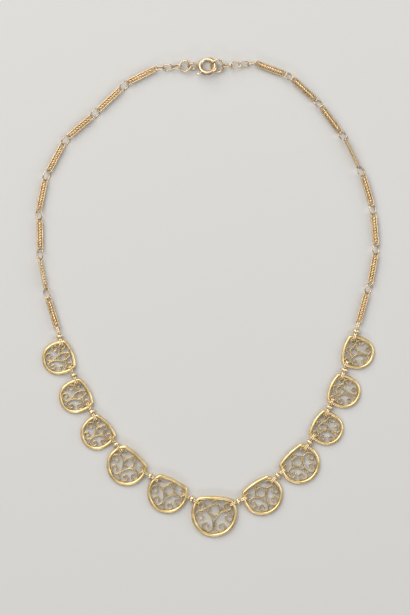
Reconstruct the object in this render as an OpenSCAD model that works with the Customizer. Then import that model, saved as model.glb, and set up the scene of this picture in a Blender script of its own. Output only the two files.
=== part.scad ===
// Drapery necklace: eleven pierced half-moon panels, discs with loops between them,
// a chain of batons and oval links on each side, closed by a bolt ring.
// It lies flat: +Z is up and +Y runs from the centre panel to the clasp.

/* [Panels] */
// Width of the flattened wire of the scrolls
scroll_w = 0.42; // [0.36:0.02:0.46]
// Height of the wire of the top arch
arch_h = 0.60; // [0.5:0.05:0.7]
// Height of the wire of the side scrolls
scroll_h = 0.50; // [0.4:0.05:0.6]
// Height of the ring in each panel
ring_h = 0.70; // [0.6:0.05:0.8]
// Overlap of the two side scrolls where they touch below the ring
scroll_lap = 0.04; // [0.02:0.01:0.08]

/* [Connectors] */
// Diameter of the disc
disc_d = 2.4; // [2.2:0.1:2.4]
// Thickness of the disc
disc_t = 1.0; // [0.8:0.1:1.2]
// Radius of the hole at the ends of a loop
eye_r = 0.78; // [0.76:0.01:0.8]
// Length of the straight stretch of a loop
eye_straight = 1.10; // [1.06:0.02:1.14]
// Thickness of a loop, seen along its hole
eye_t = 0.34; // [0.3:0.02:0.36]
// Width of a loop's band
eye_w = 0.84; // [0.7:0.02:0.86]

/* [Batons] */
// Length over the rounded ends
baton_l = 11.6; // [11.5:0.05:11.65]
// Distance between the centre lines of the two rails
rail_gap = 1.58; // [1.56:0.02:1.6]
// Diameter of a rail
rail_d = 0.50; // [0.48:0.02:0.54]
// Diameter of the wire round each end
tip_d = 0.44; // [0.4:0.02:0.48]
// Diameter of the twisted core
core_d = 1.12; // [1.1:0.02:1.16]
// Distance from each end to the core
core_in = 1.5; // [1.4:0.1:2.4]

/* [Links] */
// Diameter of the wire of the oval links
link_d = 0.40; // [0.36:0.02:0.44]
// Width of an oval link between wire centres
link_w = 3.05; // [3:0.05:3.1]
// Length of an oval link between wire centres
link_l = 3.68; // [3.65:0.01:3.71]
// Height of the middle of the chain above the surface it lies on
chain_z = 1.36; // [1.36:0.02:1.5]
// Diameter of the wire of the small cable links
cable_d = 0.40; // [0.34:0.02:0.42]
// Length of a small cable link between wire centres
cable_l = 3.46; // [3.42:0.02:3.5]
// Width of a small cable link between wire centres
cable_w = 2.25; // [2.15:0.05:2.3]

/* [Clasp] */
// Radius of the bolt ring's centre line
bolt_r = 2.55; // [2.5:0.05:2.6]
// Radius of the bolt ring's tube
tube_r = 0.75; // [0.74:0.01:0.78]
// Slope of the bolt ring, its far side down
bolt_tilt = 22; // [21:1:23]
// Radius of the tongue that slides in the tube
tongue_r = 0.50; // [0.44:0.02:0.5]
// Running gap round the tongue
tongue_gap = 0.10; // [0.08:0.01:0.12]
// Radius of the knob that draws the tongue back
knob_r = 0.58; // [0.5:0.02:0.62]
// Slope of the large jump ring, its near side down
jump_tilt = 24; // [23:1:25]

/* [Hidden] */
$fn = 40;
gold = [0.86, 0.74, 0.47];
bright_gold = [0.94, 0.86, 0.62];

// Columns of a wire path: radius of the bend (0 is straight), then degrees of turn, left
// positive, or the length of a straight stretch
RADIUS = 0;
SWEEP = 1;

// Outline of each panel size, half of it, from the middle of the rim up to the top arch
OUTLINE = [
  [[7.21, 131], [0.72, 38]],
  [[6.34, 129], [0.68, 40]],
  [[4.96, 74], [8.64, 35], [0.62, 52]],
];
// Top arch of the scroll work, half of it, at full size
ARCH = [[1.0, -74], [0, 1], [3.4, 78], [1.3, 112], [1.25, 84]];
// Radius of the last two bends of the arch's curl, at full size
curl_r = [1.1, 0.75];
// Side scroll of the scroll work, its upper and its lower half, at full size
SCROLL_UP = [
  [4.9, -28], [6.8, -22], [2.4, -48], [2.45, -67], [1.1, -57], [1.4, -81], [1.0, -85], [0.75, -80],
];
SCROLL_DOWN = [[2.0, 27], [1.75, 66], [2.0, 60], [1.3, 90], [0.85, 90], [1.0, 70]];

// Wire and scroll work of each panel size
WIRE = 0;
ARCH_SCALE = 1;
ARCH_STRAIGHT = 2;
ARCH_Y = 3;
SCROLL_SCALE = 4;
STEM_TOP = 5;
STEM_BOTTOM = 6;
RING_R = 7;
RING_Y = 8;
HOLD_X = 9;
HOLD_Y = 10;
CURL_TURN = 11;
CURL_END = 12;
SIZES = [
  // wire, arch scale, straight, y, scroll scale, stem top, bottom, ring r, y, x and y of the
  // curl a loop hangs in, turns of that curl's last two bends
  [1.28, 1.00, 0.05, 4.69, 1.00, -3.74, -4.08, 1.88, 1.28, 4.39, 2.93, 90, 80],
  [1.20, 0.91, 0.20, 3.92, 0.88, -3.38, -3.52, 1.63, 1.12, 4.14, 2.12, 40, 0],
  [1.12, 0.75, 0.20, 4.22, 0.70, -1.86, -2.64, 1.27, 1.60, 3.36, 2.76, 90, 0],
];

// Front of the necklace, a row for each connector and the panel it carries, from the centre
// panel outward
HEADING = 0;
SPAN = 1;
SLIDE = 2;
TURN = 3;
SIZE = 4;
FRONT_LEFT = [
  // heading, distance between the curls it hangs in, slide, turn and size of the panel
  [29.5, 8.0, 0.04, 27, 1],
  [33, 7.9, 0, 44, 1],
  [51, 7.15, 0, 50, 2],
  [62.5, 7.15, 0, 62.5, 2],
  [67, 7.3, 0, 69, 2],
  [74.5, 6.55, 0.28, 0, 2],
];
FRONT_RIGHT = [
  [24, 7.85, 0.03, 33.5, 1],
  [41.5, 7.85, 0, 44.5, 1],
  [56.5, 7.1, 0, 59, 2],
  [67.5, 6.8, 0, 66.5, 2],
  [71.5, 7.0, 0, 73.5, 2],
  [74, 6.6, 0.25, 0, 2],
];
centre_turn = 3;

// Roll of each small cable link, from the last baton to the clasp
LEFT_ROLLS = [-58, 38, -54];
RIGHT_ROLLS = [-100, -42, 12, 66];

// Chain of each side, a row for each baton and the oval link after it, from the panels up
BATON_H = 0;
BATON_ROLL = 1;
LINK_H = 2;
LINK_ROLL = 3;
CHAIN_LEFT = [
  // heading of the baton, its roll, heading of the link, its roll
  [73, 0, 77.5, -48],
  [78.5, 65, 92.5, -48],
  [88.5, 0, 86.5, -48],
  [101.5, 0, 113.5, 48],
  [118, 0, 126.5, 48],
  [139.5, 0, 135, 48],
  [136.5, 0, 138.5, 48],
  [153, 0, 0, 0],
];
CHAIN_RIGHT = [
  [74.5, 0, 69.5, 48],
  [79.5, 0, 88, 48],
  [95, 0, 100, 48],
  [106.5, 0, 118.5, 45],
  [115.5, 90, 127, 43],
  [126.5, -5, 130, 48],
  [137, 0, 149, 48],
  [159, 0, 0, 0],
];

// Where the clasp lies, measured from the middle of the centre panel
bolt_at = [-2.27, 152.05];
// Moves the middle of the necklace's outline to the origin
to_origin = [2.30, -73.64, 0];

// Gap between the stretches of a wire, and how much thicker the joint in it is
short = 0.01;
collar_more = 0.03;
collar_l = 0.12;
post_more = 0.02;
// How high a panel is lifted where the loops hang in it
lift = 0.50;
disc_z = disc_d/2;
disc_sink = 0.12;
loop_r = eye_r + eye_t/2;
loop_start = disc_t/2 - disc_sink + eye_t + eye_r;
// How much wider the rounded ends of a baton are than its rails
tip_more = 0.04;
// Distance from the end of a baton to the point it turns about, and how far a link reaches
// past that point
pivot_in = 0.54;
reach = 0.3;
cable_reach = 0.36;
baton_pitch = baton_l - 2*pivot_in;
link_pitch = link_l - 2*reach;

// Clasp: angles round the bolt ring, counted from its right side
mouth_from = 80;
mouth_to = 150;
tongue_tip = 76;
tongue_end = 232;
knob_at = 224;
travel = 60;
tip_play = 3;
end_play = 2;
slot_more = 8;
slot_in = 0.3;
slot_play = 0.08;
stem_r = 0.22;
knob_out = 4.3;
eye_ring_r = 1.5;
eye_ring_d = 0.7;
eye_ring_x = -5.05;
eye_ring_roll = 56;
jump_r = 2.15;
jump_d = 0.65;
jump_x = 3.37;
round_r = 1.815;
round_d = 0.57;
round_x = -7.65;
bolt_z = bolt_r*sin(bolt_tilt) + tube_r;

function sgn(a) = a < 0 ? -1 : 1;
function turned(v, a) = [v.x*cos(a) - v.y*sin(a), v.x*sin(a) + v.y*cos(a)];
function step(l, a) = [l*cos(a), l*sin(a)];
// One stretch of a wire path: where it ends and which way it then points
function stretch_end(q, at, h) =
  q[RADIUS] == 0 ? at + step(q[SWEEP], h)
  : at + sgn(q[SWEEP])*q[RADIUS]*[sin(h + q[SWEEP]) - sin(h), cos(h) - cos(h + q[SWEEP])];
function stretch_turn(q) = q[RADIUS] == 0 ? 0 : q[SWEEP];
function path_end(rows, at, h, i = 0) =
  i == len(rows) ? at : path_end(rows, stretch_end(rows[i], at, h), h + stretch_turn(rows[i]), i + 1);
function path_heading(rows, h, i = 0) =
  i == len(rows) ? h : path_heading(rows, h + stretch_turn(rows[i]), i + 1);
function scaled(rows, k, straight) =
  [for (q = rows) q[RADIUS] == 0 ? [0, straight] : [k*q[RADIUS], q[SWEEP]]];

// Draws a wire along a path: its first child is the section, its second the small joint
// between two stretches, which stop just short of each other
module wire(rows, at, h, i = 0) {
  if (i < len(rows)) {
    r = rows[i][RADIUS];
    s = rows[i][SWEEP];
    if (r == 0) {
      translate([at.x, at.y, 0]) rotate([0, 0, h]) translate([short, 0, 0])
        rotate([90, 0, 90]) linear_extrude(s - 2*short) children(0);
    } else {
      g = sgn(s);
      off = short/r*180/PI;
      translate([at.x - g*r*sin(h), at.y + g*r*cos(h), 0])
        rotate([0, 0, (g > 0 ? h - 90 : h + 90 + s) + off])
          rotate_extrude(angle = abs(s) - 2*off) translate([r, 0]) children(0);
    }
    next = stretch_end(rows[i], at, h);
    h_next = h + stretch_turn(rows[i]);
    if (i < len(rows) - 1) translate([next.x, next.y, 0]) rotate([0, 0, h_next]) children(1);
    wire(rows, next, h_next, i + 1) {
      children(0);
      children(1);
    }
  }
}

// Joint of a round wire, a short collar, and of a flat one, an upright post
module collar(d) {
  rotate([0, 90, 0]) cylinder(d = d + collar_more, h = collar_l, center = true);
}

module post(h) {
  cylinder(d = scroll_w + post_more, h = h + post_more, center = true);
}

module both_halves() {
  children();
  mirror([1, 0, 0]) children();
}

// A closed link in the XY plane, long along X
module oval(l, w, d) {
  for (g = [0, 180])
    rotate([0, 0, g]) {
      translate([-(l - w)/2, -w/2, 0]) rotate([0, 90, 0]) cylinder(d = d, h = l - w);
      translate([(l - w)/2, 0, 0]) rotate([0, 0, -90]) rotate_extrude(angle = 180)
        translate([w/2, 0]) circle(d = d);
    }
}

module ring(r, d) {
  rotate_extrude() translate([r, 0]) circle(d = d);
}

// Round outer wire of a panel
module frame(n) {
  d = SIZES[n][WIRE];
  bottom = OUTLINE[n][0][RADIUS];
  start = [0, -bottom];
  corner = path_end(OUTLINE[n], start, 0);
  h = path_heading(OUTLINE[n], 0);
  rows = concat(OUTLINE[n], [[corner.x/sin(h), 180 - h]]);
  both_halves()
    wire(rows, start, 0) {
      circle(d = d);
      collar(d);
    }
  translate([0, -bottom, 0]) collar(d);
  translate([0, path_end(rows, start, 0).y, 0]) collar(d);
}

module flat_wire(rows, at, h, height) {
  wire(rows, at, h) {
    square([scroll_w, height], center = true);
    post(height);
  }
}

// Scroll work of a panel: a ring, an arch over it and a scroll on each side
module scroll_work(n) {
  q = SIZES[n];
  stem_x = (scroll_w - scroll_lap)/2;
  stem = [[0, q[STEM_TOP] - q[STEM_BOTTOM]]];
  up = scaled(SCROLL_UP, q[SCROLL_SCALE], 0);
  ends = [[curl_r[0], q[CURL_TURN]], [curl_r[1], q[CURL_END]]];
  arch = scaled(concat(ARCH, [for (e = ends) if (e[SWEEP] > 0) e]), q[ARCH_SCALE],
                q[ARCH_STRAIGHT]);
  both_halves() {
    flat_wire(arch, [0, q[ARCH_Y]], 0, arch_h);
    flat_wire(concat(stem, up), [stem_x, q[STEM_BOTTOM]], 90, scroll_h);
    flat_wire(scaled(SCROLL_DOWN, q[SCROLL_SCALE], 0), [stem_x, q[STEM_BOTTOM]], 270, scroll_h);
    translate([stem_x, q[STEM_BOTTOM], 0]) post(scroll_h);
  }
  translate([0, q[ARCH_Y], 0]) post(arch_h);
  translate([0, q[RING_Y], 0]) rotate_extrude() translate([q[RING_R], 0])
    square([scroll_w, ring_h], center = true);
}

// A panel lying on its rim, held up where the connectors pass through it
module panel(n) {
  q = SIZES[n];
  bottom = OUTLINE[n][0][RADIUS];
  slope = asin(lift/(bottom + q[HOLD_Y]));
  color(gold) translate([0, 0, (q[WIRE] + collar_more)/2 + bottom*sin(slope)]) rotate([slope, 0, 0]) {
    frame(n);
    scroll_work(n);
  }
}

module eye_joint() {
  cylinder(d = eye_t + post_more, h = eye_w + post_more, center = true);
}

module connector() {
  color(bright_gold) {
    rotate([0, 90, 0]) intersection() {
      sphere(d = disc_d);
      cylinder(d = 2*disc_d, h = disc_t, center = true);
    }
    for (g = [0, 180], f = [0, 180])
      rotate([0, 0, g]) rotate([90, 0, 0]) translate([loop_start + eye_straight/2, 0, 0])
        rotate([0, 0, f]) {
          wire([[0, eye_straight], [loop_r, 180]], [-eye_straight/2, -loop_r], 0) {
            square([eye_t, eye_w], center = true);
            eye_joint();
          }
          translate([-eye_straight/2, -loop_r, 0]) eye_joint();
        }
  }
}

module baton() {
  tip_r = (rail_gap + tip_more)/2;
  rail_x = baton_l/2 - tip_d/2 - tip_r;
  color(gold) {
    for (g = [-1, 1]) {
      translate([-rail_x, g*rail_gap/2, 0]) rotate([0, 90, 0]) cylinder(d = rail_d, h = 2*rail_x);
      translate([g*rail_x, 0, 0]) rotate([0, 0, -90*g]) rotate_extrude(angle = 180)
        translate([tip_r, 0]) circle(d = tip_d);
    }
    rotate([0, 90, 0]) cylinder(d = core_d, h = baton_l - 2*core_in, center = true);
  }
}

// Places of the pieces of one side, worked out as if it were the right side; g is -1 for the
// left side and 1 for the right
function front(g) = g < 0 ? FRONT_LEFT : FRONT_RIGHT;
function chain(g) = g < 0 ? CHAIN_LEFT : CHAIN_RIGHT;
function hold(n, side) = [side*SIZES[n][HOLD_X], SIZES[n][HOLD_Y]];
function leave(g, i) =
  i == 0 ? turned(hold(0, 1), -g*centre_turn)
  : panel_at(g, i) + turned(hold(front(g)[i - 1][SIZE], 1), front(g)[i - 1][TURN]);
function panel_at(g, i) =
  leave(g, i - 1) + step(front(g)[i - 1][SPAN], front(g)[i - 1][HEADING])
  - turned(hold(front(g)[i - 1][SIZE], -1), front(g)[i - 1][TURN]);
function connector_at(g, i) =
  leave(g, i - 1)
  + step(front(g)[i - 1][SPAN]/2 + front(g)[i - 1][SLIDE], front(g)[i - 1][HEADING]);
function baton_from(g, i) =
  i == 1 ? leave(g, 5) + step(front(g)[5][SPAN], front(g)[5][HEADING])
  : baton_to(g, i - 1) + step(link_pitch, chain(g)[i - 2][LINK_H]);
function baton_to(g, i) = baton_from(g, i) + step(baton_pitch, chain(g)[i - 1][BATON_H]);
function facing(g, h) = g < 0 ? 180 - h : h;

module put(g, at, z, h) {
  translate(to_origin) translate([g*at.x, at.y, z]) rotate([0, 0, facing(g, h)]) children();
}

module centre_panel() {
  translate(to_origin) rotate([0, 0, -centre_turn]) panel(0);
}

module side_panel(g, i) {
  q = front(g)[i - 1];
  p = panel_at(g, i);
  translate(to_origin) translate([g*p.x, p.y, 0]) rotate([0, 0, g*q[TURN]]) panel(q[SIZE]);
}

module side_connector(g, i) {
  put(g, connector_at(g, i), disc_z, front(g)[i - 1][HEADING]) connector();
}

module side_baton(g, i) {
  q = chain(g)[i - 1];
  put(g, (baton_from(g, i) + baton_to(g, i))/2, chain_z, q[BATON_H])
    rotate([q[BATON_ROLL], 0, 0]) baton();
}

module side_links(g) {
  for (i = [1:len(chain(g)) - 1]) {
    q = chain(g)[i - 1];
    put(g, (baton_to(g, i) + baton_from(g, i + 1))/2, chain_z, q[LINK_H])
      rotate([q[LINK_ROLL], 0, 0]) color(bright_gold) oval(link_l, link_w, link_d);
  }
}

// Small cable links, evenly spaced between the last baton and a ring of the clasp
module cable(g, rolls, ring_end) {
  b = baton_to(g, len(chain(g)));
  from = [g*b.x, b.y, chain_z];
  way = ring_end - from;
  run = norm(way);
  flat = norm([way.x, way.y]);
  first = -cable_reach + cable_l/2;
  pitch = (run + cable_reach - cable_l)/(len(rolls) - 1);
  translate(to_origin) translate(from)
    rotate([0, 0, atan2(way.y, way.x)]) rotate([0, -atan2(way.z, flat), 0])
      for (i = [0:len(rolls) - 1])
        translate([first + i*pitch, 0, 0]) rotate([rolls[i], 0, 0])
          color(bright_gold) oval(cable_l, cable_w, cable_d);
}

module at_clasp(x = 0, z = 0) {
  translate(to_origin) translate([bolt_at.x + x, bolt_at.y, z]) children();
}

round_slope = asin((bolt_z - chain_z)/(2*round_r));
round_end = [round_x - round_r*cos(round_slope), chain_z];
jump_end = [jump_x + jump_r, bolt_z];
ring_clear = 0.12;

module left_cable_links() {
  cable(-1, LEFT_ROLLS,
        [bolt_at.x + round_end[0] + (round_d + cable_d)/2 + ring_clear, bolt_at.y, chain_z]);
}

module right_cable_links() {
  cable(1, RIGHT_ROLLS,
        [bolt_at.x + jump_end[0] - (jump_d + cable_d)/2 - ring_clear, bolt_at.y, bolt_z]);
}

module left_jump_ring() {
  color(bright_gold) at_clasp(round_x, (bolt_z + chain_z)/2) rotate([0, -round_slope, 0])
    ring(round_r, round_d);
}

module right_jump_ring() {
  color(bright_gold) at_clasp(jump_x, bolt_z) rotate([jump_tilt, 0, 0]) ring(jump_r, jump_d);
}

// A stretch of ring between two angles, its section drawn by the child
module arc(from, to) {
  rotate([0, 0, from]) rotate_extrude(angle = to - from) children();
}

module bolt_ring() {
  bore_end = tongue_end + travel + end_play;
  slot_half = stem_r + slot_play;
  color(gold) at_clasp(0, bolt_z) {
    rotate([-bolt_tilt, 0, 0]) {
      difference() {
        arc(mouth_to - 360, mouth_from) translate([bolt_r, 0]) circle(r = tube_r);
        arc(mouth_to - slot_more, bore_end) translate([bolt_r, 0]) circle(r = tongue_r + tongue_gap);
        arc(tongue_tip - tip_play, mouth_from + slot_more) translate([bolt_r, 0])
          circle(r = tongue_r + tongue_gap);
        arc(knob_at - slot_more, knob_at + travel + slot_more) translate([bolt_r + slot_in, -slot_half])
          square([tube_r, 2*slot_half]);
      }
    }
    translate([eye_ring_x, 0, 0]) rotate([eye_ring_roll, 0, 0]) ring(eye_ring_r, eye_ring_d);
  }
}

module clasp_trigger() {
  color(bright_gold) at_clasp(0, bolt_z) rotate([-bolt_tilt, 0, 0]) {
    arc(tongue_tip, tongue_end) translate([bolt_r, 0]) circle(r = tongue_r);
    rotate([0, 0, knob_at]) {
      translate([bolt_r, 0, 0]) rotate([0, 90, 0]) cylinder(r = stem_r, h = knob_out - bolt_r);
      translate([knob_out, 0, 0]) sphere(r = knob_r);
    }
  }
}

function numbered(name, n) = [for (i = [1:n]) str(name, i)];

centre_panel();  // panel_centre
for (i = [1:5]) {
  side_panel(-1, i);
  side_panel(1, i);
}
for (i = [1:6]) {
  side_connector(-1, i);
  side_connector(1, i);
}
for (i = [1:8]) {
  side_baton(-1, i);
  side_baton(1, i);
}
side_links(-1);  // left_links
side_links(1);  // right_links
left_cable_links();
right_cable_links();
left_jump_ring();
right_jump_ring();
bolt_ring();
clasp_trigger();
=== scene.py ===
# %% [markdown]
# # Drapery necklace
# This script dresses the solids of a gold drapery necklace for a picture. The necklace lies
# flat and is seen from straight above. Each solid piece is replaced by a finer one of the same
# form: swept wires for the panels, links and rings, rope-twist cores in the batons, rounded
# discs with double-wire loops, and a smooth bolt ring. Lengths in the tables are millimetres;
# everything that is placed in the scene is in metres.

import math

import bpy
import bmesh
from mathutils import Matrix, Vector


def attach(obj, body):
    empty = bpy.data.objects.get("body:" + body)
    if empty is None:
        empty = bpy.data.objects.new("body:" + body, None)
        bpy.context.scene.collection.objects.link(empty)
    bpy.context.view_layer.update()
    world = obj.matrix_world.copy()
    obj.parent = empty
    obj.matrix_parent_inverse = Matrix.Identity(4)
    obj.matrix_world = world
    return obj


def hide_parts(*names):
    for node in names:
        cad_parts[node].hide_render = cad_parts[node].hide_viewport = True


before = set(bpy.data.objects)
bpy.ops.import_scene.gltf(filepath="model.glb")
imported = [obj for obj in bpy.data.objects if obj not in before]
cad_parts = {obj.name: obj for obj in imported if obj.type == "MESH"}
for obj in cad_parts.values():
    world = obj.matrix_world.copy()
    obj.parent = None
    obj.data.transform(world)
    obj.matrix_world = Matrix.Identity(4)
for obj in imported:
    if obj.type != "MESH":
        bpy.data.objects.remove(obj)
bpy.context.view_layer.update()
MM = 0.001
print("solids:", len(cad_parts))

# %% [markdown]
# ## Camera
# The photograph looks straight down. One pixel of it is 0.34 mm, so the view height follows
# from its 615 pixels. The lens is long, which keeps the picture free of perspective.

# %% Camera straight above the necklace
PIXEL = 0.34
PHOTO_HEIGHT = 615
VIEW_CENTRE = (-0.855, -3.53)
CAMERA_HEIGHT = 1000.0
CLIP_NEAR = 0.01
CLIP_FAR = 10


def add_camera():
    lens = bpy.data.cameras.new("view from above")
    lens.sensor_fit = "VERTICAL"
    lens.angle = 2 * math.atan(PHOTO_HEIGHT * PIXEL / 2 / CAMERA_HEIGHT)
    lens.clip_start = CLIP_NEAR
    lens.clip_end = CLIP_FAR
    camera = bpy.data.objects.new("view from above", lens)
    camera.location = (VIEW_CENTRE[0] * MM, VIEW_CENTRE[1] * MM, CAMERA_HEIGHT * MM)
    bpy.context.scene.collection.objects.link(camera)
    bpy.context.scene.camera = camera
    return camera


camera = add_camera()
print("camera angle in degrees:", round(math.degrees(camera.data.angle), 2))

# %% [markdown]
# ## Sizes
# The same named sizes and tables as in the solid model. A wire path is a list of rows: the
# radius of a bend and its turn in degrees, or a radius of 0 and the length of a straight
# stretch.

# %% Sizes of the pieces, in millimetres
TO_ORIGIN = (2.30, -73.64)
SCROLL_WIDTH = 0.42
SCROLL_HEIGHT = 0.50
SCROLL_LAP = 0.04
FRAME_LIFT = 0.50
COLLAR_MORE = 0.03
DISC_D = 2.4
DISC_T = 1.0
DISC_SINK = 0.12
EYE_R = 0.78
EYE_STRAIGHT = 1.10
EYE_T = 0.34
EYE_W = 0.84
BATON_L = 11.6
RAIL_GAP = 1.58
RAIL_D = 0.50
TIP_D = 0.44
TIP_MORE = 0.04
CORE_D = 1.12
CORE_IN = 1.5
LINK_D = 0.40
LINK_W = 3.05
LINK_L = 3.68
CHAIN_Z = 1.36
CABLE_D = 0.40
CABLE_L = 3.46
CABLE_W = 2.25
PIVOT_IN = 0.54
REACH = 0.30
CABLE_REACH = 0.36
RING_CLEAR = 0.12
PANELS_A_SIDE = 5

OUTLINE = [
    [(7.21, 131), (0.72, 38)],
    [(6.34, 129), (0.68, 40)],
    [(4.96, 74), (8.64, 35), (0.62, 52)],
]
ARCH = [(1.0, -74), (0, 1), (3.4, 78), (1.3, 112), (1.25, 84)]
CURL_R = (1.1, 0.75)
SCROLL_UP = [
    (4.9, -28), (6.8, -22), (2.4, -48), (2.45, -67),
    (1.1, -57), (1.4, -81), (1.0, -85), (0.75, -80),
]
SCROLL_DOWN = [(2.0, 27), (1.75, 66), (2.0, 60), (1.3, 90), (0.85, 90), (1.0, 70)]
PANEL_SIZES = [
    dict(wire=1.28, arch_scale=1.00, straight=0.05, arch_y=4.69, scroll_scale=1.00,
         stem_top=-3.74, stem_bottom=-4.08, ring_r=1.88, ring_y=1.28, hold=(4.39, 2.93),
         curl=(90, 80)),
    dict(wire=1.20, arch_scale=0.91, straight=0.20, arch_y=3.92, scroll_scale=0.88,
         stem_top=-3.38, stem_bottom=-3.52, ring_r=1.63, ring_y=1.12, hold=(4.14, 2.12),
         curl=(40, 0)),
    dict(wire=1.12, arch_scale=0.75, straight=0.20, arch_y=4.22, scroll_scale=0.70,
         stem_top=-1.86, stem_bottom=-2.64, ring_r=1.27, ring_y=1.60, hold=(3.36, 2.76),
         curl=(90, 0)),
]

# Rolls of the small links of each side
CABLE_ROLLS = {-1: [-58, 38, -54], 1: [-100, -42, 12, 66]}

# Rows of the front: heading, distance between the curls, slide, turn and size of the panel.
# The last row of a side is its end connector, which leads to the chain.
FRONT = {
    -1: [(29.5, 8.0, 0.04, 27, 1), (33, 7.9, 0, 44, 1), (51, 7.15, 0, 50, 2),
         (62.5, 7.15, 0, 62.5, 2), (67, 7.3, 0, 69, 2), (74.5, 6.55, 0.28, 0, 2)],
    1: [(24, 7.85, 0.03, 33.5, 1), (41.5, 7.85, 0, 44.5, 1), (56.5, 7.1, 0, 59, 2),
        (67.5, 6.8, 0, 66.5, 2), (71.5, 7.0, 0, 73.5, 2), (74, 6.6, 0.25, 0, 2)],
}
CENTRE_TURN = 3

# Rows of the chain: heading and roll of a baton, heading and roll of the link after it.
# The last baton of a side has no such link.
CHAIN = {
    -1: [(73, 0, 77.5, -48), (78.5, 65, 92.5, -48), (88.5, 0, 86.5, -48), (101.5, 0, 113.5, 48),
         (118, 0, 126.5, 48), (139.5, 0, 135, 48), (136.5, 0, 138.5, 48), (153, 0, 0, 0)],
    1: [(74.5, 0, 69.5, 48), (79.5, 0, 88, 48), (95, 0, 100, 48), (106.5, 0, 118.5, 45),
        (115.5, 90, 127, 43), (126.5, -5, 130, 48), (137, 0, 149, 48), (159, 0, 0, 0)],
}
SIDES = {-1: "left", 1: "right"}

# The clasp: place of the bolt ring's middle, slopes, and the rings beside it
BOLT_AT = (-2.27, 152.05)
BOLT_R = 2.55
TUBE_R = 0.75
BOLT_TILT = 22
JUMP_R = 2.15
JUMP_D = 0.65
JUMP_X = 3.37
JUMP_TILT = 24
ROUND_R = 1.815
ROUND_D = 0.57
ROUND_X = -7.65
BOLT_Z = BOLT_R * math.sin(math.radians(BOLT_TILT)) + TUBE_R
print("panel sizes:", len(PANEL_SIZES), "rows of the front:", len(FRONT[1]))
print("batons a side:", len(CHAIN[1]))

# %% [markdown]
# ## Paths
# A wire's path is worked out from its rows, bend by bend. The spacing of the points is even,
# so that a twist laid on the path comes out even too.

# %% Points along a path
SPACING = 0.12
FEWEST_IN_BEND = 3
FEWEST_IN_CIRCLE = 16


def along(rows, at, heading, spacing=SPACING):
    """The points of a wire path, and the heading at its end."""
    x, y = at
    way = math.radians(heading)
    points = [(x, y)]
    for radius, amount in rows:
        if radius == 0:
            count = max(1, round(amount / spacing))
            points += [
                (x + math.cos(way) * amount * i / count, y + math.sin(way) * amount * i / count)
                for i in range(1, count + 1)
            ]
        else:
            turn = math.radians(amount)
            hand = math.copysign(radius, turn)
            count = max(FEWEST_IN_BEND, round(abs(turn) * radius / spacing))
            for i in range(1, count + 1):
                now = way + turn * i / count
                points.append((
                    x + hand * (math.sin(now) - math.sin(way)),
                    y + hand * (math.cos(way) - math.cos(now)),
                ))
            way += turn
        x, y = points[-1]
    return points, math.degrees(way)


def mirrored(points):
    return [(-x, y) for x, y in points]


def scaled(rows, factor, straight=0.0):
    return [(0, straight) if r == 0 else (factor * r, turn) for r, turn in rows]


def circle_points(radius, centre=(0.0, 0.0)):
    count = max(FEWEST_IN_CIRCLE, round(2 * math.pi * radius / SPACING))
    return [
        (centre[0] + radius * math.cos(2 * math.pi * i / count),
         centre[1] + radius * math.sin(2 * math.pi * i / count))
        for i in range(count)
    ]


def oval_points(length, width, spacing=SPACING):
    """A closed oval, long along X, with round ends."""
    rows = [(0, length - width), (width / 2, 180), (0, length - width), (width / 2, 180)]
    points, _ = along(rows, (-(length - width) / 2, -width / 2), 0, spacing)
    return points[:-1]


def new_paths(name, paths):
    """One curve object for several paths, each (points, closed), in metres."""
    curve = bpy.data.curves.new(name, "CURVE")
    curve.dimensions = "3D"
    curve.twist_mode = "Z_UP"
    for points, closed in paths:
        spline = curve.splines.new("POLY")
        spline.points.add(len(points) - 1)
        for point, place in zip(spline.points, points):
            point.co = (place[0] * MM, place[1] * MM, 0.0, 1.0)
        spline.use_cyclic_u = closed
    obj = bpy.data.objects.new(name, curve)
    bpy.context.scene.collection.objects.link(obj)
    return obj


print("points round a large jump ring:", len(circle_points(JUMP_R)))

# %% [markdown]
# ## Wires by Geometry Nodes
# One node tree makes every round wire of the necklace. It lays a number of strands round a
# path, at a distance from it, and winds them by a whole number of turns, so a closed ring
# meets itself. One strand at no distance is a plain wire, two strands without turns are a
# double wire, and three wound strands are a rope. A second tree makes the flat wire of the
# scrolls, which stands on edge and has rounded corners.

# %% The two wire trees
CORNER_STEPS = 3
NO_TURN = 0.00001
# Sides of a round wire's section: rims and rings, links and rails, and strands
RIM_SIDES = 20
WIRE_SIDES = 16
STRAND_SIDES = 12


def flat_wire_tree():
    tree = bpy.data.node_groups.new("Flat wire along a path", "GeometryNodeTree")
    face = tree.interface
    face.new_socket("Geometry", in_out="INPUT", socket_type="NodeSocketGeometry")
    sizes = [("Width", 0.0004), ("Height", 0.0005), ("Rounding", 0.0001)]
    for title, value in sizes:
        face.new_socket(title, in_out="INPUT", socket_type="NodeSocketFloat").default_value = value
    face.new_socket("Gold", in_out="INPUT", socket_type="NodeSocketMaterial")
    face.new_socket("Geometry", in_out="OUTPUT", socket_type="NodeSocketGeometry")
    nodes, link = tree.nodes, tree.links.new
    given = nodes.new("NodeGroupInput").outputs
    section = nodes.new("GeometryNodeCurvePrimitiveQuadrilateral")
    link(given["Width"], section.inputs["Width"])
    link(given["Height"], section.inputs["Height"])
    rounded = nodes.new("GeometryNodeFilletCurve")
    rounded.mode = "POLY"
    rounded.inputs["Count"].default_value = CORNER_STEPS
    link(section.outputs[0], rounded.inputs["Curve"])
    link(given["Rounding"], rounded.inputs["Radius"])
    finish_wire(tree, given["Geometry"], rounded.outputs[0], given["Gold"])
    return tree


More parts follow.
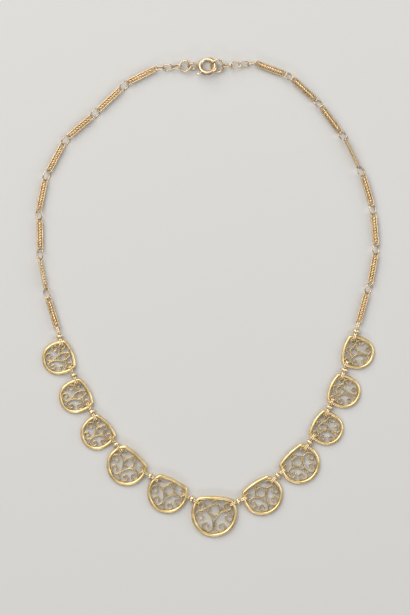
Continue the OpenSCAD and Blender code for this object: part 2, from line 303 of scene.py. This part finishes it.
def finish_wire(tree, path, section, gold):
    """The shared end of both trees: sweep, smooth, realize and paint."""
    nodes, link = tree.nodes, tree.links.new
    swept = nodes.new("GeometryNodeCurveToMesh")
    swept.inputs["Fill Caps"].default_value = True
    link(path, swept.inputs["Curve"])
    link(section, swept.inputs["Profile Curve"])
    smooth = nodes.new("GeometryNodeSetShadeSmooth")
    link(swept.outputs[0], smooth.inputs["Geometry"])
    real = nodes.new("GeometryNodeRealizeInstances")
    link(smooth.outputs[0], real.inputs[0])
    painted = nodes.new("GeometryNodeSetMaterial")
    link(real.outputs[0], painted.inputs["Geometry"])
    link(gold, painted.inputs["Material"])
    link(painted.outputs[0], nodes.new("NodeGroupOutput").inputs[0])


def wire_tree():
    tree = bpy.data.node_groups.new("Wires laid along a path", "GeometryNodeTree")
    face = tree.interface
    face.new_socket("Geometry", in_out="INPUT", socket_type="NodeSocketGeometry")
    sizes = [
        ("Strands", "NodeSocketInt", 1),
        ("Strand radius", "NodeSocketFloat", 0.0005),
        ("Distance from path", "NodeSocketFloat", 0.0),
        ("Length of a turn", "NodeSocketFloat", 0.0),
        ("First angle", "NodeSocketFloat", 0.0),
        ("Sides", "NodeSocketInt", STRAND_SIDES),
    ]
    for title, kind, value in sizes:
        face.new_socket(title, in_out="INPUT", socket_type=kind).default_value = value
    face.new_socket("Gold", in_out="INPUT", socket_type="NodeSocketMaterial")
    face.new_socket("Geometry", in_out="OUTPUT", socket_type="NodeSocketGeometry")
    nodes, link = tree.nodes, tree.links.new

    def math_node(operation, *values):
        node = nodes.new("ShaderNodeMath")
        node.operation = operation
        for socket, value in zip(node.inputs, values):
            if isinstance(value, (int, float)):
                socket.default_value = value
            else:
                link(value, socket)
        return node.outputs[0]

    def scaled_vector(vector, factor):
        node = nodes.new("ShaderNodeVectorMath")
        node.operation = "SCALE"
        link(vector, node.inputs[0])
        link(factor, node.inputs["Scale"])
        return node.outputs[0]

    given = nodes.new("NodeGroupInput").outputs
    laid = nodes.new("GeometryNodeDuplicateElements")
    laid.domain = "SPLINE"
    link(given["Geometry"], laid.inputs["Geometry"])
    link(given["Strands"], laid.inputs["Amount"])

    spline = nodes.new("GeometryNodeSplineParameter").outputs
    length = nodes.new("GeometryNodeSplineLength").outputs["Length"]
    winds = math_node("GREATER_THAN", given["Length of a turn"], NO_TURN)
    turn_length = math_node("MAXIMUM", given["Length of a turn"], NO_TURN)
    whole_turns = math_node("ROUND", math_node("DIVIDE", length, turn_length))
    turns = math_node("MULTIPLY", whole_turns, winds)
    start = math_node("DIVIDE", laid.outputs["Duplicate Index"], given["Strands"])
    circles = math_node("ADD", math_node("MULTIPLY", spline["Factor"], turns), start)
    angle = math_node("ADD", math_node("MULTIPLY", circles, 2 * math.pi), given["First angle"])

    normal = nodes.new("GeometryNodeInputNormal").outputs[0]
    tangent = nodes.new("GeometryNodeInputTangent").outputs[0]
    upright = nodes.new("ShaderNodeVectorMath")
    upright.operation = "CROSS_PRODUCT"
    link(tangent, upright.inputs[0])
    link(normal, upright.inputs[1])
    sideways = scaled_vector(normal, math_node("COSINE", angle))
    upwards = scaled_vector(upright.outputs[0], math_node("SINE", angle))
    both = nodes.new("ShaderNodeVectorMath")
    both.operation = "ADD"
    link(sideways, both.inputs[0])
    link(upwards, both.inputs[1])
    offset = scaled_vector(both.outputs[0], given["Distance from path"])
    moved = nodes.new("GeometryNodeSetPosition")
    link(laid.outputs["Geometry"], moved.inputs["Geometry"])
    link(offset, moved.inputs["Offset"])

    section = nodes.new("GeometryNodeCurvePrimitiveCircle")
    link(given["Sides"], section.inputs["Resolution"])
    link(given["Strand radius"], section.inputs["Radius"])
    finish_wire(tree, moved.outputs[0], section.outputs["Curve"], given["Gold"])
    return tree


WIRES = wire_tree()
FLAT_WIRES = flat_wire_tree()


def swept(name, paths, tree, values):
    """A mesh of the paths, swept by a tree with these values for its named inputs."""
    obj = new_paths(name, paths)
    modifier = obj.modifiers.new("Sweep", "NODES")
    modifier.node_group = tree
    inputs = {s.name: s.identifier for s in tree.interface.items_tree if s.in_out == "INPUT"}
    for title, value in values.items():
        modifier[inputs[title]] = value
    graph = bpy.context.evaluated_depsgraph_get()
    mesh = bpy.data.meshes.new_from_object(obj.evaluated_get(graph))
    curve = obj.data
    bpy.data.objects.remove(obj)
    bpy.data.curves.remove(curve)
    return mesh


def wires(name, paths, material, radius,
          strands=1, away=0.0, turn=0.0, first=0.0, sides=STRAND_SIDES):
    """Round wires along the paths; sizes in millimetres, the first angle in degrees."""
    return swept(name, paths, WIRES, {
        "Strands": strands, "Strand radius": radius * MM, "Distance from path": away * MM,
        "Length of a turn": turn * MM, "First angle": math.radians(first), "Sides": sides,
        "Gold": material,
    })


def flat_wires(name, paths, material, width, height, rounding):
    """Flat wires standing on edge along the paths; sizes in millimetres."""
    return swept(name, paths, FLAT_WIRES, {
        "Width": width * MM, "Height": height * MM, "Rounding": rounding * MM, "Gold": material,
    })


print("trees:", WIRES.name, "and", FLAT_WIRES.name)

# %% [markdown]
# ## Gold
# Pale yellow gold of about 18 carat. Each finish has a light and a deep tone that drift into
# each other, its own roughness with some wear, and fine scratches. In the corners and between
# wires the colour is darkened to brown as painted shade: how far from the corner, in millimetres,
# and how much.

# %% Gold finishes
# Brown painted into corners and between wires as shade
PAINTED_SHADE_BROWN = (0.16, 0.10, 0.045, 1)
EDGE_TINT = (0.85, 0.70, 0.44, 1)
# Noises: scale and detail
TONE_NOISE = (420, 3)
WEAR_NOISE = (1500, 4)
SCRATCH_NOISE = (5200, 5)
# Parts of a noise, or of the corner shade, that are spread over the whole effect
TONE_PART = (0.35, 0.65)
WEAR_PART = (0.3, 0.7)
PAINTED_SHADE_PART = (0.25, 0.85)
WEAR_SPREAD = (0.75, 1.3)
PAINTED_SHADE_SAMPLES = 8
SCRATCH_STRENGTH = 0.06
SCRATCH_DEPTH = 0.04


def gold(name, light, deep, roughness, painted_shade_reach, painted_shade_share):
    material = bpy.data.materials.new(name)
    material.use_nodes = True
    nodes, link = material.node_tree.nodes, material.node_tree.links.new
    nodes.clear()
    out = nodes.new("ShaderNodeOutputMaterial")
    shader = nodes.new("ShaderNodeBsdfPrincipled")
    link(shader.outputs[0], out.inputs["Surface"])
    shader.inputs["Metallic"].default_value = 1.0
    shader.inputs["Specular Tint"].default_value = EDGE_TINT
    place = nodes.new("ShaderNodeTexCoord").outputs["Object"]

    def noise(scale, detail):
        node = nodes.new("ShaderNodeTexNoise")
        node.inputs["Scale"].default_value = scale
        node.inputs["Detail"].default_value = detail
        link(place, node.inputs["Vector"])
        return node.outputs["Fac"]

    def ranged(value, part, to_low, to_high):
        node = nodes.new("ShaderNodeMapRange")
        node.inputs["From Min"].default_value = part[0]
        node.inputs["From Max"].default_value = part[1]
        node.inputs["To Min"].default_value = to_low
        node.inputs["To Max"].default_value = to_high
        link(value, node.inputs["Value"])
        return node.outputs[0]

    tone = nodes.new("ShaderNodeMix")
    tone.data_type = "RGBA"
    tone.inputs[6].default_value = (*deep, 1)
    tone.inputs[7].default_value = (*light, 1)
    link(ranged(noise(*TONE_NOISE), TONE_PART, 0, 1), tone.inputs[0])
    # Painted shade: ambient occlusion darkens the base colour towards brown in corners and between
    # wires
    corner = nodes.new("ShaderNodeAmbientOcclusion")
    corner.samples = PAINTED_SHADE_SAMPLES
    corner.inputs["Distance"].default_value = painted_shade_reach * MM
    dark = nodes.new("ShaderNodeMix")
    dark.data_type = "RGBA"
    dark.inputs[7].default_value = PAINTED_SHADE_BROWN
    link(tone.outputs[2], dark.inputs[6])
    link(ranged(corner.outputs["AO"], PAINTED_SHADE_PART, painted_shade_share, 0), dark.inputs[0])
    link(dark.outputs[2], shader.inputs["Base Color"])
    polished, worn = (roughness * share for share in WEAR_SPREAD)
    wear = ranged(noise(*WEAR_NOISE), WEAR_PART, polished, worn)
    link(wear, shader.inputs["Roughness"])
    marks = nodes.new("ShaderNodeBump")
    marks.inputs["Strength"].default_value = SCRATCH_STRENGTH
    marks.inputs["Distance"].default_value = SCRATCH_DEPTH * MM
    link(noise(*SCRATCH_NOISE), marks.inputs["Height"])
    link(marks.outputs[0], shader.inputs["Normal"])
    return material


# Light tone, deep tone, roughness, reach of the painted corner shade and its share
FRAME_GOLD = gold("satin frame gold", (0.97, 0.76, 0.42), (0.74, 0.56, 0.26), 0.38, 0.5, 0.6)
SCROLL_GOLD = gold("flat scroll gold", (0.80, 0.61, 0.33), (0.60, 0.45, 0.22), 0.30, 0.30, 0.7)
# Loop gold is paler than the rest: partly its own tone, partly painted highlight for its bright
# shine
LOOP_GOLD_PALE_AS_HIGHLIGHT = gold("polished loop gold with painted highlight", (1.00, 0.86, 0.58), (0.96, 0.78, 0.48), 0.34, 0.15, 0.4)
RAIL_GOLD = gold("baton rail gold", (0.82, 0.61, 0.36), (0.66, 0.48, 0.25), 0.35, 0.45, 0.6)
ROPE_GOLD = gold("baton rope gold", (0.86, 0.64, 0.38), (0.70, 0.51, 0.27), 0.34, 0.28, 0.65)
LINK_GOLD = gold("link wire gold", (0.76, 0.60, 0.39), (0.61, 0.47, 0.29), 0.26, 0.5, 0.6)
CLASP_GOLD = gold("warm clasp gold", (0.78, 0.61, 0.41), (0.65, 0.49, 0.31), 0.34, 0.4, 0.5)
# Knob gold is paler than the rest: partly its own tone, partly painted highlight for its bright
# shine
KNOB_GOLD_PALE_AS_HIGHLIGHT = gold("knob gold with painted highlight", (1.00, 0.90, 0.68), (0.97, 0.83, 0.58), 0.30, 0.2, 0.4)
golds = [FRAME_GOLD, SCROLL_GOLD, LOOP_GOLD_PALE_AS_HIGHLIGHT, RAIL_GOLD, ROPE_GOLD, LINK_GOLD, CLASP_GOLD, KNOB_GOLD_PALE_AS_HIGHLIGHT]
print("finishes:", [material.name for material in golds])

# %% [markdown]
# ## Placing the pieces
# A piece is made once at the middle of the frame and copied to each place. Copies take the
# place into their mesh, so every finished object stays unmoved at the origin.

# %% Making a piece from meshes
def joined(parts):
    """One mesh from (mesh, placing matrix) pairs; matrices are in millimetres."""
    whole = bmesh.new()
    materials = []
    for mesh, place in parts:
        copy = mesh.copy()
        matrix = place.copy()
        matrix.translation = place.translation * MM
        copy.transform(matrix)
        slots = []
        for material in mesh.materials:
            if material not in materials:
                materials.append(material)
            slots.append(materials.index(material))
        first = len(whole.faces)
        whole.from_mesh(copy)
        whole.faces.ensure_lookup_table()
        for face in whole.faces[first:]:
            face.material_index = slots[face.material_index]
        bpy.data.meshes.remove(copy)
    mesh = bpy.data.meshes.new("piece")
    whole.to_mesh(mesh)
    whole.free()
    for material in materials:
        mesh.materials.append(material)
    return mesh


def piece(name, mesh, node, body="necklace"):
    """A finished piece: it stands for its solid, and rides on that solid's body."""
    mesh.name = name
    obj = bpy.data.objects.new(name, mesh)
    bpy.context.scene.collection.objects.link(obj)
    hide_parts(node)
    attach(obj, body)


def shift(x, y, z=0.0):
    return Matrix.Translation((x, y, z))


def spin(axis, degrees):
    return Matrix.Rotation(math.radians(degrees), 4, axis)


HERE = Matrix.Identity(4)

# %% [markdown]
# The front hangs together from the centre panel outward. Each connector leaves a curl of one
# panel and enters a curl of the next. All places are worked out as if they were on the right
# side; the left side takes them with X turned over.

# %% Places of panels, connectors and batons
def turned(point, degrees):
    c, s = math.cos(math.radians(degrees)), math.sin(math.radians(degrees))
    return Vector((point[0] * c - point[1] * s, point[0] * s + point[1] * c))


def step(length, degrees):
    return turned((length, 0), degrees)


def hold(size, side):
    x, y = PANEL_SIZES[size]["hold"]
    return (side * x, y)


def leave(g, i):
    if i == 0:
        return turned(hold(0, 1), -g * CENTRE_TURN)
    _, _, _, turn, size = FRONT[g][i - 1]
    return panel_at(g, i) + turned(hold(size, 1), turn)


def panel_at(g, i):
    heading, span, _, turn, size = FRONT[g][i - 1]
    return leave(g, i - 1) + step(span, heading) - turned(hold(size, -1), turn)


def connector_at(g, i):
    heading, span, slide, _, _ = FRONT[g][i - 1]
    return leave(g, i - 1) + step(span / 2 + slide, heading)


def baton_from(g, i):
    if i == 1:
        heading, span, _, _, _ = FRONT[g][PANELS_A_SIDE]
        return leave(g, PANELS_A_SIDE) + step(span, heading)
    return baton_to(g, i - 1) + step(LINK_L - 2 * REACH, CHAIN[g][i - 2][2])


def baton_to(g, i):
    return baton_from(g, i) + step(BATON_L - 2 * PIVOT_IN, CHAIN[g][i - 1][0])


ORIGIN = shift(*TO_ORIGIN)


def put(g, at, z, heading):
    return ORIGIN @ shift(g * at.x, at.y, z) @ spin("Z", 180 - heading if g < 0 else heading)


for i in range(1, PANELS_A_SIDE + 1):
    print("left panel", i, "at:", tuple(round(c, 1) for c in panel_at(-1, i)))

# %% [markdown]
# ## Panels
# A panel is a round outer wire with scroll work of flat wire soldered into it: a ring, an
# arch over the ring that ends in two curls, and a scroll on each side.

# %% Three panel sizes
RIM_SPACING = 0.2
SCROLL_ROUNDING = 0.12


def frame_path(n):
    outline = OUTLINE[n]
    start = (0.0, -outline[0][0])
    corner, heading = along(outline, start, 0)
    top_radius = corner[-1][0] / math.sin(math.radians(heading))
    half, _ = along(outline + [(top_radius, 180 - heading)], start, 0, RIM_SPACING)
    half[-1] = (0.0, half[-1][1])
    return half + mirrored(half)[-2:0:-1]


def scroll_paths(n):
    size = PANEL_SIZES[n]
    curls = [(r, turn) for r, turn in zip(CURL_R, size["curl"]) if turn]
    rows = scaled(ARCH + curls, size["arch_scale"], size["straight"])
    arch, _ = along(rows, (0.0, size["arch_y"]), 0)
    stem_x = (SCROLL_WIDTH - SCROLL_LAP) / 2
    bottom = (stem_x, size["stem_bottom"])
    stem = [(0, size["stem_top"] - size["stem_bottom"])]
    up, _ = along(stem + scaled(SCROLL_UP, size["scroll_scale"]), bottom, 90)
    down, _ = along(scaled(SCROLL_DOWN, size["scroll_scale"]), bottom, 270)
    side = down[:0:-1] + up
    return [
        (mirrored(arch)[:0:-1] + arch, False),
        (side, False),
        (mirrored(side), False),
        (circle_points(size["ring_r"], (0.0, size["ring_y"])), True),
    ]


def panel_parts(n):
    size = PANEL_SIZES[n]
    bottom = OUTLINE[n][0][0]
    rim = wires("rim", [(frame_path(n), True)], FRAME_GOLD, size["wire"] / 2, sides=RIM_SIDES)
    work = flat_wires("scroll work", scroll_paths(n), SCROLL_GOLD,
                      SCROLL_WIDTH, SCROLL_HEIGHT, SCROLL_ROUNDING)
    slope = math.asin(FRAME_LIFT / (bottom + size["hold"][1]))
    place = shift(0, 0, (size["wire"] + COLLAR_MORE) / 2 + bottom * math.sin(slope))
    place = place @ Matrix.Rotation(slope, 4, "X")
    return [(rim, place), (work, place)]


PANELS = [joined(panel_parts(n)) for n in range(len(PANEL_SIZES))]
centre_panel = joined([(PANELS[0], ORIGIN @ spin("Z", -CENTRE_TURN))])
piece("centre_panel_wires", centre_panel, "panel_centre")
for g, side in SIDES.items():
    for i, (_, _, _, turn, size) in enumerate(FRONT[g][:PANELS_A_SIDE], 1):
        at = panel_at(g, i)
        panel = joined([(PANELS[size], ORIGIN @ shift(g * at.x, at.y) @ spin("Z", g * turn))])
        piece(f"{side}_panel_wires_{i}", panel, f"panel_{side}_{i}")
print("faces of the three panels:", [len(m.polygons) for m in PANELS])

# %% [markdown]
# ## Connectors
# A connector is a polished disc standing on edge with a loop on each side, all in a paler
# gold that is partly painted highlight. The rim of the disc is rounded, and a loop is two wires
# soldered side by side.

# %% Discs and their loops
DISC_RIM = 0.42
# Rows of the hollow face: depth below the face and radius
DISC_HOLLOW = [(0.10, 0), (0.08, 0.45), (0.02, 0.62)]
RIM_STEPS = 12
DISC_AROUND = 48
LOOP_SPACING = 0.1


def lathed(name, profile, material, around):
    """A solid turned about X; the profile is (x, radius), from one side to the other."""
    turned_solid = bmesh.new()
    rings = []
    for x, radius in profile:
        if radius == 0:
            rings.append([turned_solid.verts.new((x * MM, 0, 0))])
        else:
            rings.append([
                turned_solid.verts.new((
                    x * MM,
                    radius * MM * math.cos(2 * math.pi * k / around),
                    radius * MM * math.sin(2 * math.pi * k / around),
                ))
                for k in range(around)
            ])
    for a, b in zip(rings, rings[1:]):
        for k in range(around):
            corners = [a[k % len(a)], a[(k + 1) % len(a)], b[(k + 1) % len(b)], b[k % len(b)]]
            turned_solid.faces.new(list(dict.fromkeys(corners)))
    bmesh.ops.recalc_face_normals(turned_solid, faces=turned_solid.faces)
    mesh = bpy.data.meshes.new(name)
    turned_solid.to_mesh(mesh)
    turned_solid.free()
    mesh.shade_smooth()
    mesh.materials.append(material)
    return mesh


def disc_profile():
    """Half an oval for the rim, and a slightly hollow face round each loop."""
    half = DISC_T / 2
    inner = DISC_D / 2 - DISC_RIM
    face = [(depth - half, radius) for depth, radius in DISC_HOLLOW] + [(-half, inner)]
    rim = []
    for k in range(1, RIM_STEPS):
        a = math.pi * k / RIM_STEPS
        rim.append((-half * math.cos(a), inner + DISC_RIM * math.sin(a)))
    return face + rim + [(-x, radius) for x, radius in reversed(face)]


def connector_mesh():
    disc = lathed("disc", disc_profile(), LOOP_GOLD_PALE_AS_HIGHLIGHT, DISC_AROUND)
    loop_r = EYE_R + EYE_T / 2
    path = oval_points(EYE_STRAIGHT + 2 * loop_r, 2 * loop_r, LOOP_SPACING)
    loop = wires("loop", [(path, True)], LOOP_GOLD_PALE_AS_HIGHLIGHT,
                 EYE_T / 2, strands=2, away=(EYE_W - EYE_T) / 2, first=90)
    out = DISC_T / 2 - DISC_SINK + EYE_T + EYE_R + EYE_STRAIGHT / 2
    upright = spin("X", 90)
    return joined([(disc, HERE), (loop, shift(out, 0) @ upright), (loop, shift(-out, 0) @ upright)])


CONNECTOR = connector_mesh()
for g, side in SIDES.items():
    for i, row in enumerate(FRONT[g], 1):
        connector = joined([(CONNECTOR, put(g, connector_at(g, i), DISC_D / 2, row[0]))])
        piece(f"{side}_disc_and_loops_{i}", connector, f"connector_{side}_{i}")
print("faces of a connector:", len(CONNECTOR.polygons))

# %% [markdown]
# ## Batons
# A baton is a long closed loop of round wire with a rope of three strands between its rails.
# The rope's ends are closed by small drops of solder.

# %% Batons with rope cores
ROPE_STRANDS = 3
STRAND_R = 0.26
LAY = 2.5
ROPE_IN = 0.1
SOLDER_R = 0.25
SOLDER_STEPS = 10
SOLDER_AROUND = 24
RAIL_SPACING = 0.15


def baton_mesh():
    outline = oval_points(BATON_L - TIP_D, RAIL_GAP + TIP_MORE, RAIL_SPACING)
    rails = wires("rails", [(outline, True)], RAIL_GOLD, (RAIL_D + TIP_D) / 4, sides=WIRE_SIDES)
    half = BATON_L / 2 - CORE_IN
    straight, _ = along([(0, 2 * (half - ROPE_IN))], (ROPE_IN - half, 0.0), 0)
    rope = wires("rope", [(straight, False)], ROPE_GOLD, STRAND_R, strands=ROPE_STRANDS,
                 away=CORE_D / 2 - STRAND_R, turn=LAY)
    drop = [(-SOLDER_R, 0)]
    for k in range(SOLDER_STEPS - 1, 0, -1):
        a = math.pi * k / SOLDER_STEPS
        drop.append((SOLDER_R * math.cos(a), CORE_D / 2 * math.sin(a)))
    drop.append((SOLDER_R, 0))
    solder = lathed("solder", drop, RAIL_GOLD, SOLDER_AROUND)
    return joined([
        (rails, HERE), (rope, HERE),
        (solder, shift(half - SOLDER_R, 0)), (solder, shift(SOLDER_R - half, 0)),
    ])


BATON = baton_mesh()
for g, side in SIDES.items():
    for i, (heading, roll, _, _) in enumerate(CHAIN[g], 1):
        middle = (baton_from(g, i) + baton_to(g, i)) / 2
        baton = joined([(BATON, put(g, middle, CHAIN_Z, heading) @ spin("X", roll))])
        piece(f"{side}_baton_rope_{i}", baton, f"baton_{side}_{i}")
print("faces of a baton:", len(BATON.polygons))

# %% [markdown]
# ## Links and rings
# The oval links join the batons, small cable links lead to the clasp, and a jump ring ends
# each side.

# %% Oval links, cable links and jump rings
def plain_link(name, path, thickness, sides):
    return wires(name, [(path, True)], LINK_GOLD, thickness / 2, sides=sides)


OVAL = plain_link("oval", oval_points(LINK_L, LINK_W), LINK_D, WIRE_SIDES)
SMALL_OVAL = plain_link("small oval", oval_points(CABLE_L, CABLE_W), CABLE_D, WIRE_SIDES)
for g, side in SIDES.items():
    parts = []
    for i, (_, _, heading, roll) in enumerate(CHAIN[g][:-1], 1):
        middle = (baton_to(g, i) + baton_from(g, i + 1)) / 2
        parts.append((OVAL, put(g, middle, CHAIN_Z, heading) @ spin("X", roll)))
    piece(f"{side}_oval_links", joined(parts), f"{side}_links")

ROUND_SLOPE = math.asin((BOLT_Z - CHAIN_Z) / (2 * ROUND_R))


def cable_parts(g, ring_x, ring_z):
    """The small links of a side, in a row from its last baton to its ring."""
    rolls = CABLE_ROLLS[g]
    end = baton_to(g, len(CHAIN[g]))
    start = Vector((g * end.x, end.y, CHAIN_Z))
    way = Vector((ring_x, BOLT_AT[1], ring_z)) - start
    pitch = (way.length + CABLE_REACH - CABLE_L) / (len(rolls) - 1)
    base = ORIGIN @ Matrix.Translation(start) @ spin("Z", math.degrees(math.atan2(way.y, way.x)))
    base = base @ spin("Y", -math.degrees(math.atan2(way.z, math.hypot(way.x, way.y))))
    first = -CABLE_REACH + CABLE_L / 2
    return [
        (SMALL_OVAL, base @ shift(first + k * pitch, 0) @ spin("X", roll))
        for k, roll in enumerate(rolls)
    ]


round_x = BOLT_AT[0] + ROUND_X
jump_x = BOLT_AT[0] + JUMP_X
left_inner = round_x - ROUND_R * math.cos(ROUND_SLOPE) + (ROUND_D + CABLE_D) / 2 + RING_CLEAR
right_inner = jump_x + JUMP_R - (JUMP_D + CABLE_D) / 2 - RING_CLEAR
piece("left_small_links", joined(cable_parts(-1, left_inner, CHAIN_Z)), "left_cable_links")
piece("right_small_links", joined(cable_parts(1, right_inner, BOLT_Z)), "right_cable_links")

small_ring = plain_link("small jump ring", circle_points(ROUND_R), ROUND_D, RIM_SIDES)
large_ring = plain_link("large jump ring", circle_points(JUMP_R), JUMP_D, RIM_SIDES)
place = ORIGIN @ shift(round_x, BOLT_AT[1], (BOLT_Z + CHAIN_Z) / 2)
end_ring = joined([(small_ring, place @ spin("Y", -math.degrees(ROUND_SLOPE)))])
piece("left_end_ring", end_ring, "left_jump_ring")
place = ORIGIN @ shift(jump_x, BOLT_AT[1], BOLT_Z)
end_ring = joined([(large_ring, place @ spin("X", JUMP_TILT))])
piece("right_end_ring", end_ring, "right_jump_ring")
print("faces of a link:", len(OVAL.polygons), "of a small link:", len(SMALL_OVAL.polygons))

# %% [markdown]
# ## Clasp
# The bolt ring and its sliding trigger keep the solids' own surfaces. Their loose triangles
# are merged in a copy, and smooth shading runs over the tube and breaks at its cut edges.

# %% Bolt ring and trigger
MERGE_WITHIN = 0.000002
SLIVER = 0.0000005
SHARP_ANGLE = 35


def smooth_copy(node, material):
    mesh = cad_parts[node].data.copy()
    whole = bmesh.new()
    whole.from_mesh(mesh)
    bmesh.ops.remove_doubles(whole, verts=whole.verts, dist=MERGE_WITHIN)
    bmesh.ops.dissolve_degenerate(whole, edges=whole.edges, dist=SLIVER)
    whole.to_mesh(mesh)
    whole.free()
    mesh.materials.clear()
    mesh.materials.append(material)
    mesh.shade_smooth()
    mesh.set_sharp_from_angle(angle=math.radians(SHARP_ANGLE))
    for name in [a.name for a in mesh.attributes if a.name == "custom_normal"]:
        mesh.attributes.remove(mesh.attributes[name])
    return mesh


piece("bolt_ring_body", smooth_copy("bolt_ring", CLASP_GOLD), "bolt_ring")
trigger = smooth_copy("clasp_trigger", KNOB_GOLD_PALE_AS_HIGHLIGHT)
piece("bolt_ring_trigger", trigger, "clasp_trigger", body="trigger")

# %% [markdown]
# ## Floor and light
# A plain pale floor, a large soft light above and two smaller ones at the sides. The world is
# bright overhead and dark at the horizon, which gives the wires a dark line at each edge. The
# picture shows colours as they are, with no film curve over them.

# %% Floor, lights and world
FLOOR_TONE = (0.61, 0.605, 0.595, 1)
FLOOR_ROUGHNESS = 0.9
FLOOR_SHINE = 0.2
# Lights: name, place and size in metres, watts and tint
LIGHTS = [
    ("soft box", (-0.35, 0.45, 0.60), (0.90, 0.90), 7.6, (1.0, 0.97, 0.92)),
    ("side strip", (0.55, 0.10, 0.35), (0.30, 0.50), 1.5, (0.95, 0.98, 1.0)),
    ("low strip", (-0.10, -0.60, 0.35), (0.50, 0.12), 1.0, (1.0, 0.98, 0.95)),
]
# The world: height and tone of its dark and of its bright end
HORIZON = (0.15, (0.14, 0.14, 0.15, 1))
OVERHEAD = (0.9, (0.70, 0.70, 0.71, 1))
WORLD_STRENGTH = 0.57


def add_floor():
    mesh = bpy.data.meshes.new("floor")
    mesh.from_pydata([(-1, -1, 0), (1, -1, 0), (1, 1, 0), (-1, 1, 0)], [], [(0, 1, 2, 3)])
    floor = bpy.data.objects.new("floor", mesh)
    bpy.context.scene.collection.objects.link(floor)
    material = bpy.data.materials.new("pale floor")
    material.use_nodes = True
    shader = material.node_tree.nodes["Principled BSDF"]
    shader.inputs["Base Color"].default_value = FLOOR_TONE
    shader.inputs["Roughness"].default_value = FLOOR_ROUGHNESS
    shader.inputs["Specular IOR Level"].default_value = FLOOR_SHINE
    mesh.materials.append(material)


def add_light(name, place, size, watts, tint):
    lamp = bpy.data.lights.new(name, "AREA")
    lamp.shape = "RECTANGLE"
    lamp.size, lamp.size_y = size
    lamp.energy = watts
    lamp.color = tint
    obj = bpy.data.objects.new(name, lamp)
    obj.location = place
    obj.rotation_euler = (-Vector(place)).to_track_quat("-Z", "Y").to_euler()
    bpy.context.scene.collection.objects.link(obj)


def add_world():
    world = bpy.data.worlds.new("studio")
    bpy.context.scene.world = world
    bpy.context.scene.view_settings.view_transform = "Standard"
    world.use_nodes = True
    nodes, link = world.node_tree.nodes, world.node_tree.links.new
    split = nodes.new("ShaderNodeSeparateXYZ")
    link(nodes.new("ShaderNodeTexCoord").outputs["Generated"], split.inputs[0])
    ramp = nodes.new("ShaderNodeValToRGB")
    for stop, (height, tone) in zip(ramp.color_ramp.elements, (HORIZON, OVERHEAD)):
        stop.position = height
        stop.color = tone
    link(split.outputs["Z"], ramp.inputs[0])
    link(ramp.outputs[0], nodes["Background"].inputs["Color"])
    nodes["Background"].inputs["Strength"].default_value = WORLD_STRENGTH


add_floor()
for light in LIGHTS:
    add_light(*light)
add_world()
